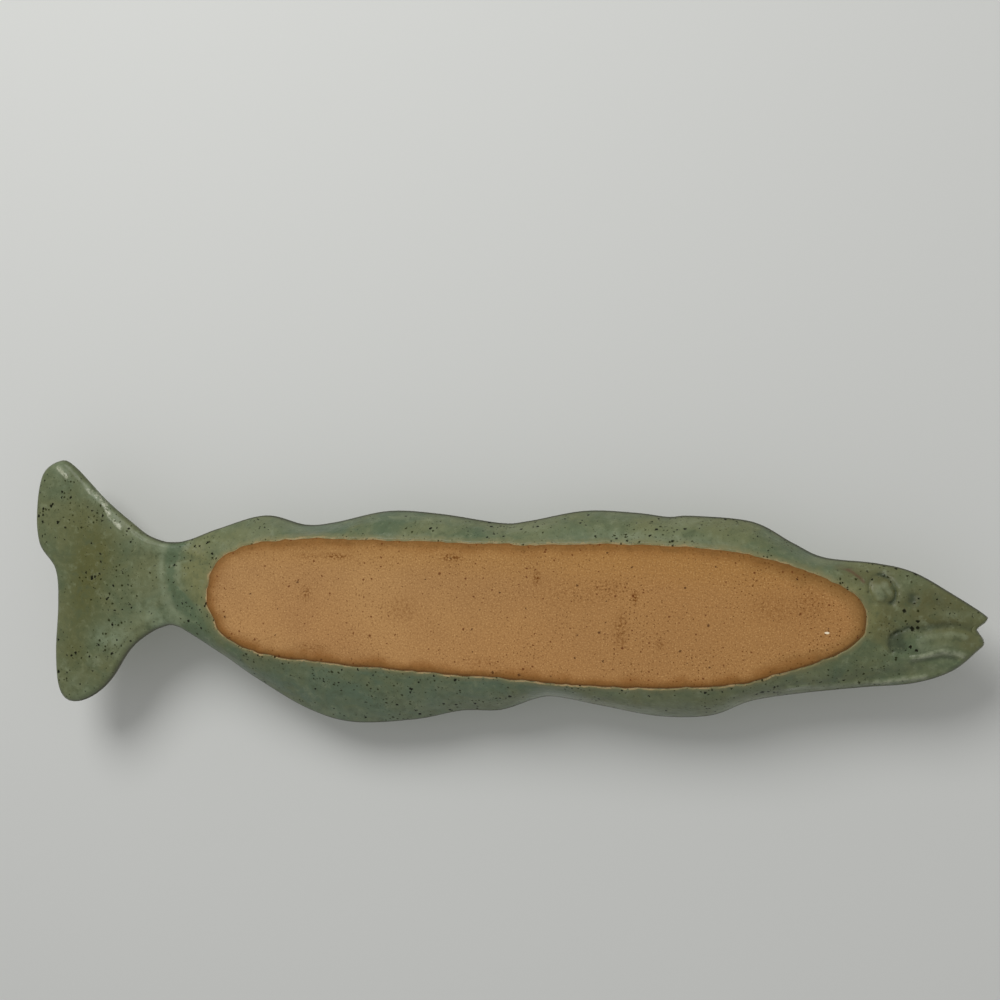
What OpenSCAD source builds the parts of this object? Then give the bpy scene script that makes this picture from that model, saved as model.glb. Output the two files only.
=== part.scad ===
/* [Platter] */

// Length from the tip of the snout to the tips of the tail
platter_length = 600; // [560:5:660]

// Width of the body that the edge points are shares of
body_width = 140; // [136:2:160]

// Height of the highest ruffle of the rim above the table
rim_height = 29; // [24:1:36]

// Thickness of the rolled sheet of clay
slab_thickness = 6.5; // [5:0.5:8]

// Width of the band along the edge where the sheet turns to its rounded lip
edge_band = 5; // [4:0.5:7]

/* [Foot] */

// Length of the bare oval that the platter rests on
foot_length = 406; // [380:2:420]

// Width of the bare oval
foot_width = 86; // [76:1:92]

// Width of the bevel between the resting face and the glaze line
foot_bevel = 1.8; // [1:0.2:3]

// Height of the glaze line above the table
glaze_line_height = 1.3; // [1:0.1:2]

// How far the dish's bottom corner sweeps in over the foot
well_fillet = 8; // [5:0.5:12]

/* [Tail] */

// Width of the tail fin that its edge points are shares of
tail_width = 156; // [140:2:170]

// How far the neck's dip line stays in from the edge before it turns over the lip
neck_inset = 12; // [11.5:0.5:15]

// Height of the underside at the middle of the neck
neck_mid_height = 3.6; // [2.5:0.1:6]

// Height of the underside beside the neck's edges
neck_side_height = 5.2; // [3:0.1:8]

/* [Glaze] */

// Thickness of the fired glaze
glaze_thickness = 0.6; // [0.4:0.1:0.8]

// Thickness of the second coat's edge where it laps the first at the neck
lap_thickness = 1; // [0.6:0.1:1.2]

/* [Head relief] */

// Radius of the eye's raised disc
eye_radius = 8; // [6:0.5:10]

// Height of the eye's raised disc
eye_height = 1.6; // [0.8:0.1:2.2]

// Width of the soft groove round the eye
eye_groove = 3; // [2:0.5:5]

// Width of the pressed creases and ridges of the jaws and gill
crease_width = 5; // [3:0.5:7]

// Depth of the deepest crease
crease_depth = 1.8; // [0.8:0.1:2.4]

/* [Facets] */

// Length of a facet along the ruffled rim
rim_facet = 13; // [10:1:20]

// Length of a facet round the head
head_facet = 6.5; // [5:0.5:10]

// Length of a facet round the tail
tail_facet = 11; // [8:1:16]

/* [Hidden] */

stoneware = [0.72, 0.54, 0.34];
green = [0.44, 0.48, 0.36];
tail_green = [0.36, 0.42, 0.32];

// Edge of the fish from the neck over the back: length, width and height shares
back_edge_shares = [
    [0.376, 0.206, 0.42], [0.336, 0.274, 0.58], [0.286, 0.344, 0.76],
    [0.242, 0.310, 0.84], [0.209, 0.327, 0.86], [0.152, 0.388, 0.94],
    [0.095, 0.386, 0.92], [0.030, 0.359, 0.86], [0.001, 0.373, 0.88],
    [-0.056, 0.428, 0.97], [-0.109, 0.430, 0.94], [-0.142, 0.419, 0.90],
    [-0.165, 0.428, 0.94], [-0.225, 0.414, 0.96], [-0.265, 0.335, 0.84]
];

// Edge of the head: brow, upper lip, mouth notch, lower lip and jaw
head_edge_shares = [
    [-0.296, 0.281, 0.74], [-0.346, 0.269, 0.62], [-0.381, 0.241, 0.55],
    [-0.416, 0.164, 0.50], [-0.446, 0.088, 0.50], [-0.4495, 0.066, 0.50],
    [-0.441, 0.026, 0.49], [-0.448, -0.025, 0.50], [-0.443, -0.056, 0.50],
    [-0.420, -0.148, 0.51], [-0.385, -0.209, 0.55], [-0.335, -0.245, 0.64]
];

// Edge of the belly from the jaw to the neck
belly_edge_shares = [
    [-0.277, -0.293, 0.78], [-0.231, -0.342, 0.86], [-0.192, -0.419, 0.95],
    [-0.140, -0.441, 1.00], [-0.081, -0.411, 0.93], [-0.036, -0.385, 0.88],
    [-0.014, -0.399, 0.89], [0.024, -0.464, 0.95], [0.065, -0.480, 0.94],
    [0.116, -0.537, 0.97], [0.183, -0.572, 1.00], [0.232, -0.528, 0.94],
    [0.287, -0.406, 0.80], [0.332, -0.276, 0.58]
];

// Edge of the tail fin, its widths as shares of the tail's own width
tail_edge_shares = [
    [0.374, -0.157, 0.43], [0.394, -0.163, 0.42], [0.415, -0.209, 0.44],
    [0.433, -0.273, 0.46], [0.453, -0.392, 0.50], [0.473, -0.465, 0.53],
    [0.493, -0.501, 0.55], [0.508, -0.494, 0.56], [0.517, -0.433, 0.56],
    [0.520, -0.298, 0.54], [0.518, -0.094, 0.52], [0.522, 0.049, 0.52],
    [0.542, 0.151, 0.54], [0.547, 0.290, 0.57], [0.542, 0.440, 0.60],
    [0.523, 0.498, 0.60], [0.506, 0.480, 0.57], [0.465, 0.343, 0.50],
    [0.432, 0.253, 0.46], [0.408, 0.200, 0.43]
];

// Border of the bare oval, from its tail end round by the back
foot_edge_shares = [
    [0.500, -0.065], [0.489, 0.175], [0.466, 0.282], [0.411, 0.380],
    [0.315, 0.428], [0.189, 0.442], [-0.016, 0.460], [-0.140, 0.495],
    [-0.256, 0.500], [-0.352, 0.452], [-0.440, 0.338], [-0.484, 0.235],
    [-0.500, 0.120], [-0.494, -0.045], [-0.451, -0.200], [-0.383, -0.333],
    [-0.304, -0.440], [-0.145, -0.500], [0.036, -0.495], [0.256, -0.478],
    [0.401, -0.440], [0.467, -0.329], [0.490, -0.185]
];

// Middle of the foot's round ends, from which the walls fan out
head_end_shares = [-0.385, 0.06];
tail_end_shares = [0.385, -0.03];

// Where the eye lies, as shares of the platter's length and body width
eye_place_shares = [-0.3532, 0.172];

// Creases and ridges of the back of the head: both ends, width and depth shares
back_relief_shares = [
    [-0.3795, 0.137, -0.3800, 0.136, 0.9, 0.6],
    [-0.3635, 0.010, -0.3750, -0.080, 1.1, 1],
    [-0.4420, 0.027, -0.3890, 0.018, 0.7, 0.7],
    [-0.3830, -0.035, -0.4190, 0.000, 0.9, -0.9],
    [-0.3820, -0.105, -0.4250, -0.076, 0.8, -0.8],
    [-0.3400, -0.180, -0.3850, -0.175, 1.2, -0.4]
];

// Gill cover, cheek and mouth on the serving side, in the same form
face_relief_shares = [
    [-0.4420, 0.027, -0.4050, -0.010, 0.8, -0.9],
    [-0.3560, -0.010, -0.3480, -0.130, 1.1, -1],
    [-0.3300, 0.090, -0.3560, -0.010, 1.1, -0.8],
    [-0.3830, 0.020, -0.3830, -0.070, 1.6, 0.6]
];

// Shape of the walls: slope at the foot and at the lip against the mean slope
wall_start_share = 0.55;
wall_end_share = 1.2;
lip_share = 0.4;
steepest = 72;
edge_pull_share = 0.4;
fin_bend_share = 0.45;

normal_reach = 2;
fin_steps = 4;
foot_steps = 5;
wall_rows = 7;
wall_neck_row = 4;
top_rows = 4;
top_neck_row = 2;
lip_rows = 3;
lip_radius = slab_thickness / 2;

function unit(v) = v / norm(v);
function left(v) = [-v[1], v[0]];
function mix(a, b, s) = a + (b - a) * s;
function plan(p) = [p[0], p[1]];

function spline(a, b, c, d, s) =
    (2 * b + (c - a) * s + (2 * a - 5 * b + 4 * c - d) * s * s
     + (3 * b - a - 3 * c + d) * s * s * s) / 2;

function sized(shares, width, facet) =
    [for (p = shares) [p[0] * platter_length, p[1] * width, p[2] * rim_height, facet]];

edge_points = concat(
    sized(back_edge_shares, body_width, rim_facet),
    sized(head_edge_shares, body_width, head_facet),
    sized(belly_edge_shares, body_width, rim_facet),
    sized(tail_edge_shares, tail_width, tail_facet));

function at(list, i) = list[(i + len(list)) % len(list)];

function steps_at(i) =
    max(1, round(norm(plan(at(edge_points, i + 1)) - plan(edge_points[i])) / edge_points[i][3]));

function smooth_loop(points, i, steps) =
    [for (k = [0:steps - 1])
        spline(at(points, i - 1), points[i], at(points, i + 1), at(points, i + 2), k / steps)];

edge = [for (i = [0:len(edge_points) - 1]) each smooth_loop(edge_points, i, steps_at(i))];
columns = len(edge);

body_points = len(back_edge_shares) + len(head_edge_shares) + len(belly_edge_shares);
tail_start = len([for (i = [0:body_points - 1]) for (k = [1:steps_at(i)]) k]);
tail_columns = columns - tail_start;

foot_points = [for (p = foot_edge_shares) [p[0] * foot_length, p[1] * foot_width]];
foot = [for (i = [0:len(foot_points) - 1]) each smooth_loop(foot_points, i, foot_steps)];

function in_tail(i) = i >= tail_start || i == 0;
function neck_share(i) = i == 0 ? 1 : (i - tail_start) / tail_columns;

// Outward direction in plan where a wall meets the edge
head_end = [head_end_shares[0] * foot_length, head_end_shares[1] * foot_width];
tail_end = [tail_end_shares[0] * foot_length, tail_end_shares[1] * foot_width];

function core_at(p) =
    let (s = (p[0] - head_end[0]) / (tail_end[0] - head_end[0]))
    mix(head_end, tail_end, min(1, max(0, s)));

function edge_normal(i) =
    -left(unit(plan(at(edge, i + normal_reach)) - plan(at(edge, i - normal_reach))));

function edge_out(i) =
    in_tail(i) ? edge_normal(i)
    : unit(mix(unit(plan(edge[i]) - core_at(edge[i])), edge_normal(i), edge_pull_share));

// Where a line from the foot's middle crosses the foot's border
function cross2(a, b) = a[0] * b[1] - a[1] * b[0];
function hit(c, d, a, b) = cross2(a - c, b - a) / cross2(d, b - a);
function side(c, d, a) = cross2(d, a - c);

function foot_hit(c, d) =
    [for (k = [0:len(foot) - 1])
        let (a = foot[k], b = at(foot, k + 1))
        if (side(c, d, a) < 0 && side(c, d, b) >= 0 && hit(c, d, a, b) > 0)
        c + d * hit(c, d, a, b)][0];

// Neck line that the tail's columns pass through
neck_low = plan(edge[tail_start]) - edge_normal(tail_start) * neck_inset;
neck_high = plan(edge[0]) - edge_normal(0) * neck_inset;

function neck_at(i) = mix(neck_low, neck_high, neck_share(i));
function aim_at(i) = in_tail(i) ? neck_at(i) : plan(edge[i]);

starts = [for (i = [0:columns - 1])
    let (aim = aim_at(i), c = core_at(aim)) foot_hit(c, unit(aim - c))];

inners = [for (i = [0:columns - 1])
    let (gap = norm(plan(edge[i]) - starts[i]))
    plan(edge[i]) - edge_out(i) * min(edge_band, gap * lip_share)];

// Columns leave the neck line square and bend out into the fin
neck_out = -left(unit(neck_high - neck_low));

function fin_bend(i, s) =
    let (a = neck_at(i), c = inners[i], b = a + neck_out * norm(c - a) * fin_bend_share)
    mix(mix(a, b, s), mix(b, c, s), s);

// Each column's path in plan: foot border, neck line and fin if any, inner band, edge
paths = [for (i = [0:columns - 1])
    in_tail(i) ? concat([starts[i]], [for (k = [0:fin_steps]) fin_bend(i, k / fin_steps)],
                        [plan(edge[i])])
    : [starts[i], inners[i], plan(edge[i])]];

function run(path, n) = n == 0 ? 0 : norm(path[n] - path[n - 1]) + run(path, n - 1);
runs = [for (i = [0:columns - 1]) run(paths[i], len(paths[i]) - 1)];
neck_runs = [for (i = [0:columns - 1]) norm(neck_at(i) - starts[i])];

function along(path, d, n = 1) =
    let (step = norm(path[n] - path[n - 1]))
    d <= step || n == len(path) - 1
    ? path[n - 1] + unit(path[n] - path[n - 1]) * d
    : along(path, d - step, n + 1);

// Mean slope, lip slope and the two sides' meeting points with the lip
slopes = [for (i = [0:columns - 1])
    atan2(edge[i][2] - lip_radius - glaze_line_height, runs[i] - lip_radius)];
lip_slopes = [for (s = slopes) min(steepest, s * wall_end_share)];

function lip_centre(i) = [runs[i] - lip_radius, edge[i][2] - lip_radius];
function lip_point(i, turn) =
    lip_centre(i) + lip_radius * [sin(lip_slopes[i] + turn), -cos(lip_slopes[i] + turn)];

function hermite(d, a, b, slope_a, slope_b) =
    let (l = b[0] - a[0], s = (d - a[0]) / l)
    a[1] * (1 + 2 * s) * (1 - s) * (1 - s) + b[1] * s * s * (3 - 2 * s)
    + l * slope_a * s * (1 - s) * (1 - s) - l * slope_b * s * s * (1 - s);

function neck_height(i) =
    mix(neck_mid_height, neck_side_height, pow(2 * neck_share(i) - 1, 2));

function wall_height(i, d, from, lift, slope_from) =
    let (to = lip_point(i, lift > 0 ? 180 : 0), end = tan(lip_slopes[i]),
         neck = [neck_runs[i], neck_height(i) + lift], mean = tan(slopes[i]))
    !in_tail(i) ? hermite(d, from, to, slope_from, end)
    : d < neck[0] ? hermite(d, from, neck, slope_from, mean)
    : hermite(d, neck, to, mean, end);

function row_run(i, from, to, row, rows, neck_row) =
    !in_tail(i) ? mix(from, to, row / rows)
    : row <= neck_row ? mix(from, neck_runs[i], row / neck_row)
    : mix(neck_runs[i], to, (row - neck_row) / (rows - neck_row));

// Pressed relief of the head
eye = [eye_place_shares[0] * platter_length, eye_place_shares[1] * body_width];

function bell(r) = exp(-r * r);
function place(x, y) = [x * platter_length, y * body_width];

function off_line(p, a, b) =
    let (s = min(1, max(0, (p - a) * (b - a) / ((b - a) * (b - a)))))
    norm(p - mix(a, b, s));

function creases(p, table, i = 0) =
    i == len(table) ? 0
    : let (row = table[i], a = place(row[0], row[1]), b = place(row[2], row[3]))
      row[5] * crease_depth * bell(off_line(p, a, b) / (row[4] * crease_width))
      + creases(p, table, i + 1);

function eye_form(p) =
    let (r = norm(p - eye))
    (r < eye_radius ? -eye_height * (1 - pow(r / eye_radius, 4)) : 0)
    + eye_height / 2 * bell((r - eye_radius) / eye_groove);

function back_relief(p) =
    p[0] > head_end[0] - well_fillet ? 0 : eye_form(p) + creases(p, back_relief_shares);

function face_relief(p) =
    p[0] > head_end[0] - well_fillet ? 0 : -eye_form(p) + creases(p, face_relief_shares);

// One column of the sheet, from the resting face over the lip to the dish's floor
function under_point(i, d) =
    let (p = along(paths[i], d),
         z = wall_height(i, d, [0, glaze_line_height], 0, tan(slopes[i] * wall_start_share)))
    [p[0], p[1], z + back_relief(p)];

function top_point(i, d) =
    let (p = along(paths[i], d),
         z = wall_height(i, d, [-well_fillet, slab_thickness], slab_thickness, 0))
    [p[0], p[1], z + face_relief(p)];

function set_back(d, from) = d - min(edge_band, (d - from) * lip_share);

function column(i) =
    let (low = lip_point(i, 0), high = lip_point(i, 180),
         start = along(paths[i], -foot_bevel), floor_edge = along(paths[i], -well_fillet))
    concat(
        [[start[0], start[1], 0]],
        [for (row = [0:wall_rows])
            under_point(i, row_run(i, 0, set_back(low[0], 0), row, wall_rows, wall_neck_row))],
        [for (turn = [0:lip_rows + 1])
            let (q = lip_point(i, 180 * turn / (lip_rows + 1)), p = along(paths[i], q[0]))
            [p[0], p[1], q[1]]],
        [for (row = [top_rows:-1:1])
            top_point(i, row_run(i, -well_fillet, set_back(high[0], -well_fillet),
                                 row, top_rows, top_neck_row))],
        [[floor_edge[0], floor_edge[1], slab_thickness]]);

sheet = [for (i = [0:columns - 1]) column(i)];
rows = len(sheet[0]);
neck_row = 1 + wall_neck_row;
top_neck = rows - 1 - top_neck_row;

// Outward normal of the sheet at a point of a column
function normal_at(i, r) =
    let (across = at(sheet, i + 1)[r] - at(sheet, i - 1)[r],
         up = sheet[i][min(rows - 1, r + 1)] - sheet[i][max(0, r - 1)])
    r == rows - 1 ? [0, 0, 1] : unit(cross(across, up));

normals = [for (i = [0:columns - 1]) [for (r = [0:rows - 1]) normal_at(i, r)]];

function coated(i, r, thickness) = sheet[i][r] + normals[i][r] * thickness;

// Faces of the cells between two columns, wound to show outward
function id(i, r) = (i % columns) * rows + r;
function cell(a, b, c, d) = [[a, d, c], [a, c, b]];
function cell_faces(i, r) = cell(id(i, r), id(i + 1, r), id(i + 1, r + 1), id(i, r + 1));

sheet_points = [for (c = sheet) each c];
foot_face = [for (i = [0:columns - 1]) id(i, 0)];
floor_face = [for (i = [columns - 1:-1:0]) id(i, rows - 1)];

module slab() {
    walls = [for (i = [0:columns - 1]) for (r = [0:rows - 2]) each cell_faces(i, r)];
    polyhedron(sheet_points, concat(walls, [foot_face, floor_face]));
}

// The tail's coat takes the cells past the neck line, on both sides and over the lip
function dipped(i, r) = i >= tail_start && r >= neck_row && r < top_neck;

tail_cells = [for (i = [0:columns - 1]) for (r = [1:rows - 2]) if (dipped(i, r)) [i, r]];
body_cells = [for (i = [0:columns - 1]) for (r = [1:rows - 2]) if (!dipped(i, r)) [i, r]];

glaze_line = [for (i = [0:columns - 1]) [id(i + 1, 1), id(i, 1)]];
lap_line = concat(
    [for (i = [tail_start:columns - 1]) [id(i, neck_row), id(i + 1, neck_row)]],
    [for (i = [tail_start:columns - 1]) [id(i + 1, top_neck), id(i, top_neck)]],
    [for (r = [neck_row:top_neck - 1]) [id(tail_start, r + 1), id(tail_start, r)]],
    [for (r = [neck_row:top_neck - 1]) [id(0, r), id(0, r + 1)]]);

function on_lap(i, r) =
    r == neck_row || r == top_neck || i == tail_start || i == 0 ? lap_thickness : glaze_thickness;

// A coat is the sheet's own surface, the same surface set out, and the borders between
module coat(cells, borders, caps, outer_points) {
    inner = len(sheet_points);
    outside = concat([for (c = cells) each cell_faces(c[0], c[1])], caps);
    inside = [for (f = outside) [for (k = [len(f) - 1:-1:0]) f[k] + inner]];
    rims = [for (e = borders) each cell(e[1], e[1] + inner, e[0] + inner, e[0])];
    polyhedron(concat(outer_points, sheet_points), concat(outside, inside, rims));
}

module stoneware_slab() {
    color(stoneware) slab();
}

module body_glaze() {
    points = [for (i = [0:columns - 1]) for (r = [0:rows - 1]) coated(i, r, glaze_thickness)];
    color(green) coat(body_cells, concat(glaze_line, lap_line), [floor_face], points);
}

module tail_glaze() {
    points = [for (i = [0:columns - 1]) for (r = [0:rows - 1]) coated(i, r, on_lap(i, r))];
    color(tail_green) coat(tail_cells, [for (e = lap_line) [e[1], e[0]]], [], points);
}

stoneware_slab();
body_glaze();
tail_glaze();
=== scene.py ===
import math
from functools import cached_property

import bpy
import numpy as np
from mathutils import Matrix, Vector, noise


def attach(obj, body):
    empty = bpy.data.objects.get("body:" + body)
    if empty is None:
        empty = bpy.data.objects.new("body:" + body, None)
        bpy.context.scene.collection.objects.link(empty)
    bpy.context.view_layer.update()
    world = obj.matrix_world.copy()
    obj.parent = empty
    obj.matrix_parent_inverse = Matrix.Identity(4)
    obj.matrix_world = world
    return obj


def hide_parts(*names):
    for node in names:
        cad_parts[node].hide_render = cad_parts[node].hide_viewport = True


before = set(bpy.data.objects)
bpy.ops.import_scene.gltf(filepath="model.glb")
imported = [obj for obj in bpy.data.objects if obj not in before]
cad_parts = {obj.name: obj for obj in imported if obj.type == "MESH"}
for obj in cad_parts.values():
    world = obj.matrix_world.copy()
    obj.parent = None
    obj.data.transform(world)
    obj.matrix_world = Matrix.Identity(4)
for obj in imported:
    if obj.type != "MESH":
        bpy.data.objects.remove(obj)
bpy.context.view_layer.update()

# The fish's sizes in millimetres, as the CAD part has them
LENGTH, BODY_WIDTH, TAIL_WIDTH, RIM_HEIGHT = 600.0, 140.0, 156.0, 29.0
SLAB, LIP_RADIUS, EDGE_BAND = 6.5, 3.25, 5.0
FOOT_LENGTH, FOOT_WIDTH, FOOT_BEVEL, GLAZE_LINE, WELL_FILLET = 406.0, 86.0, 1.8, 1.3, 8.0
NECK_INSET, NECK_MID, NECK_SIDE = 12.0, 3.6, 5.2
GLAZE = 0.6
# The most of a column's way that the edge band takes, how far a column turns towards the edge's
# own direction, and where a fin's curved column bends and in how many steps
BAND_SHARE, OUTWARD_SHARE, BEND_SHARE, FIN_STEPS = 0.4, 0.4, 0.45, 16
# How the slopes at the lip and the foot follow from the column's mean slope
LIP_STEEPENING, STEEPEST_LIP, FOOT_SLOPE_SHARE = 1.2, math.radians(72), 0.55
# Powers that round the foot's bevel, and crowd the fins' rows towards the edge
BEVEL_ROUNDING, ROW_CROWDING = 1.3, 1.4

# Edge of the fish as shares of length, width and rim height: back, head, belly, tail
BACK_EDGE = [
    (0.376, 0.206, 0.42), (0.336, 0.274, 0.58), (0.286, 0.344, 0.76), (0.242, 0.310, 0.84),
    (0.209, 0.327, 0.86), (0.152, 0.388, 0.94), (0.095, 0.386, 0.92), (0.030, 0.359, 0.86),
    (0.001, 0.373, 0.88), (-0.056, 0.428, 0.97), (-0.109, 0.430, 0.94), (-0.142, 0.419, 0.90),
    (-0.165, 0.428, 0.94), (-0.225, 0.414, 0.96), (-0.265, 0.335, 0.84),
]
HEAD_EDGE = [
    (-0.296, 0.281, 0.74), (-0.346, 0.269, 0.62), (-0.381, 0.241, 0.55), (-0.416, 0.164, 0.50),
    (-0.446, 0.088, 0.50), (-0.4495, 0.066, 0.50), (-0.441, 0.026, 0.49), (-0.448, -0.025, 0.50),
    (-0.443, -0.056, 0.50), (-0.420, -0.148, 0.51), (-0.385, -0.209, 0.55), (-0.335, -0.245, 0.64),
]
BELLY_EDGE = [
    (-0.277, -0.293, 0.78), (-0.231, -0.342, 0.86), (-0.192, -0.419, 0.95), (-0.140, -0.441, 1.00),
    (-0.081, -0.411, 0.93), (-0.036, -0.385, 0.88), (-0.014, -0.399, 0.89), (0.024, -0.464, 0.95),
    (0.065, -0.480, 0.94), (0.116, -0.537, 0.97), (0.183, -0.572, 1.00), (0.232, -0.528, 0.94),
    (0.287, -0.406, 0.80), (0.332, -0.276, 0.58),
]
TAIL_EDGE = [
    (0.374, -0.157, 0.43), (0.394, -0.163, 0.42), (0.415, -0.209, 0.44), (0.433, -0.273, 0.46),
    (0.453, -0.392, 0.50), (0.473, -0.465, 0.53), (0.493, -0.501, 0.55), (0.508, -0.494, 0.56),
    (0.517, -0.433, 0.56), (0.520, -0.298, 0.54), (0.518, -0.094, 0.52), (0.522, 0.049, 0.52),
    (0.542, 0.151, 0.54), (0.547, 0.290, 0.57), (0.542, 0.440, 0.60), (0.523, 0.498, 0.60),
    (0.506, 0.480, 0.57), (0.465, 0.343, 0.50), (0.432, 0.253, 0.46), (0.408, 0.200, 0.43),
]
FOOT_EDGE = [
    (0.500, -0.065), (0.489, 0.175), (0.466, 0.282), (0.411, 0.380), (0.315, 0.428),
    (0.189, 0.442), (-0.016, 0.460), (-0.140, 0.495), (-0.256, 0.500), (-0.352, 0.452),
    (-0.440, 0.338), (-0.484, 0.235), (-0.500, 0.120), (-0.494, -0.045), (-0.451, -0.200),
    (-0.383, -0.333), (-0.304, -0.440), (-0.145, -0.500), (0.036, -0.495), (0.256, -0.478),
    (0.401, -0.440), (0.467, -0.329), (0.490, -0.185),
]
# The two ends of the core line, from which the columns fan out
HEAD_END = np.array([-0.385, 0.06]) * (FOOT_LENGTH, FOOT_WIDTH)
TAIL_END = np.array([0.385, -0.03]) * (FOOT_LENGTH, FOOT_WIDTH)

# Facet lengths of the finer mesh along the edge, steps between the foot's points, and the
# columns to each side over which the edge's direction is taken
RIM_FACET, HEAD_FACET, TAIL_FACET, FOOT_STEPS = 3.4, 1.7, 2.8, 24
NORMAL_REACH = 7

# Rows of the finer mesh: rings of the foot, its bevel, glaze line, wall, lip, dish wall, dish floor
FOOT_RINGS = [0.86, 0.72, 0.58, 0.46, 0.35, 0.26, 0.18, 0.11, 0.065, 0.03, 0.0]
BEVEL_ROWS = (1 / 3, 2 / 3)
LINE_STEPS = [0.0, 0.3, 0.7, 1.2, 1.9]
WALL_START, WALL_ROWS, WALL_NECK_ROW = 2.8, 60, 23
LIP_LEAD = [0.4, 0.7, 0.88, 0.96]
LIP_STEPS = 9
DISH_ROWS, DISH_NECK_ROW = 26, 12
FLOOR_RINGS = [0.12, 0.26, 0.42, 0.6, 0.8]

# Waves made by hand: height, size and seed, for the sheet, the dish's floor and the glaze line.
# The sheet's fade out towards the foot between these distances from it
SHEET_WAVES = [(0.42, 34.0, 1.0), (0.16, 12.0, 2.0)]
FLOOR_WAVES = [(0.15, 30.0, 5.0)]
WAVES_FADE = (1.0, 9.0)
LINE_WAVES = [(0.85, 19.0, 3.0), (0.9, 7.0, 8.0), (0.5, 4.0, 9.0)]
# Where the glaze line lies off the foot's border, how far in it comes on the belly, and its limit
LINE_PLACE, BELLY_DRAW, INNERMOST_LINE = 0.15, 0.6, -1.5
# Glaze thickness at the line's rows, as shares, and what the second dip adds at the neck
LINE_SHARES, OVERLAP_GLAZE = (0.12, 0.7, 1.1, 1.25, 1.1), 0.3
# What stands for the distance from the glaze line on the serving side, which it doesn't reach
FAR_FROM_LINE = 99.0

# The eye's low dome: centre, half-sizes and height
EYE, EYE_HALF, EYE_HEIGHT = np.array([-211.4, 24.2]), np.array([7.2, 7.4]), 0.9

# Creases and ridges of the underside, in millimetres: points, width, depth (ridges negative)
LOWER_LIP = ([(-229.6, -14.0), (-235.8, -12.9), (-241.9, -10.6), (-246.2, -9.4), (-250.6, -9.6),
              (-254.2, -10.3), (-257.5, -11.6)], 1.2, -1.1)
BELLY_CREST = ([(-161.5, -36.5), (-190.2, -33.3), (-208.2, -30.4), (-217.4, -29.2),
                (-224.9, -27.3), (-237.3, -25.0)], 1.25, -1.15)
BACK_RELIEF = [
    ([(-210.0, 32.0), (-214.6, 29.8), (-217.2, 26.6), (-218.8, 23.0), (-218.8, 19.4),
      (-216.8, 16.6)], 1.5, 1.35),
    ([(-204.2, 22.0), (-203.8, 27.0), (-205.4, 31.0), (-209.0, 32.4)], 1.1, 0.5),
    ([(-216.0, 16.4), (-211.0, 15.6), (-206.5, 16.6)], 1.6, 0.45),
    ([(-212.6, 23.4), (-214.4, 20.8), (-213.4, 18.0)], 1.0, 0.5),
    ([(-217.4, 32.4), (-221.2, 29.0), (-222.4, 24.5), (-221.6, 19.0)], 2.2, -0.4),
    ([(-224.4, 30.4), (-226.2, 25.2)], 1.6, -0.15),
    ([(-228.4, 20.6), (-228.0, 18.8)], 2.8, 1.1),
    ([(-233.0, 24.4), (-233.9, 19.2), (-231.2, 14.8)], 2.8, -0.12),
    ([(-240.0, 21.0), (-248.0, 14.5)], 6.0, 0.35),
    ([(-261.5, 3.6), (-252.2, 5.5), (-245.6, 5.1), (-240.3, 4.2), (-236.0, 2.8), (-230.0, 3.0),
      (-226.5, 2.6)], 2.9, 0.85),
    ([(-227.0, 3.2), (-222.2, 1.0), (-217.4, -1.6)], 1.0, 0.8),
    ([(-221.0, 0.4), (-217.4, -3.4), (-216.8, -7.4), (-218.2, -11.0)], 1.7, 1.1),
    ([(-221.2, -3.4), (-223.0, -8.2)], 4.2, 1.4),
    ([(-213.6, 1.6), (-211.8, -4.4), (-212.8, -11.0)], 3.2, -0.45),
    ([(-233.0, -4.2), (-237.1, -2.0), (-242.7, -0.3), (-250.1, 0.7), (-258.0, -0.2)], 2.4, -0.95),
    ([(-234.5, -8.6), (-241.0, -6.6), (-250.0, -5.2)], 4.0, -0.9),
    ([(-219.5, -13.6), (-226.5, -14.2)], 1.4, -0.5),
    LOWER_LIP,
    ([(-230.0, -16.8), (-238.0, -15.0), (-246.0, -12.4), (-254.0, -13.6)], 1.9, 0.8),
    BELLY_CREST,
    ([(-200.0, -25.0), (-220.0, -22.6), (-234.0, -20.0)], 3.4, 0.5),
    ([(-240.0, 12.5), (-250.0, 10.2), (-260.0, 8.0)], 2.6, -0.4),
]
# The rolled margin of the tail's upper fin, and the tail's hollows, in the same form
TAIL_MARGIN = [
    ([(313.0, 73.6), (309.5, 71.0), (306.0, 68.0)], 2.0, -0.8),
    ([(290.5, 60.0), (287.0, 58.2), (281.6, 54.6), (277.0, 49.6), (273.4, 43.4)], 2.0, -0.8),
    ([(269.8, 40.2), (265.2, 36.8)], 1.6, -0.7),
]
TAIL_RELIEF = TAIL_MARGIN + [
    ([(258.0, 34.4), (247.0, 28.4)], 3.4, -0.5),
    ([(296.0, 56.0), (284.0, 48.0), (276.0, 38.0)], 4.0, 0.45),
    ([(303.0, -70.0), (284.0, -50.0), (268.0, -36.0)], 3.0, -0.4),
]
# Mouth, cheek, gill cover and eye ring of the serving side, in the same form
FACE_RELIEF = [
    ([(-265.2, 3.6), (-254.0, 1.4), (-243.0, -1.4)], 2.6, -1.4),
    ([(-198.0, 14.0), (-206.5, 8.0), (-211.0, 0.0), (-210.5, -9.0), (-206.0, -18.0)], 3.0, -1.4),
    ([(-230.0, 2.8), (-230.0, -9.8)], 7.5, 0.9),
    ([(-219.5, 8.0), (-222.5, 0.0), (-220.5, -9.0)], 2.6, -0.8),
    ([(-203.0, 24.2), (-205.3, 30.3), (-211.4, 32.8), (-217.5, 30.3), (-219.8, 24.2), (-217.5, 18.1),
      (-211.4, 15.6), (-205.3, 18.1), (-203.0, 24.2)], 1.2, -0.8),
]

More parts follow.
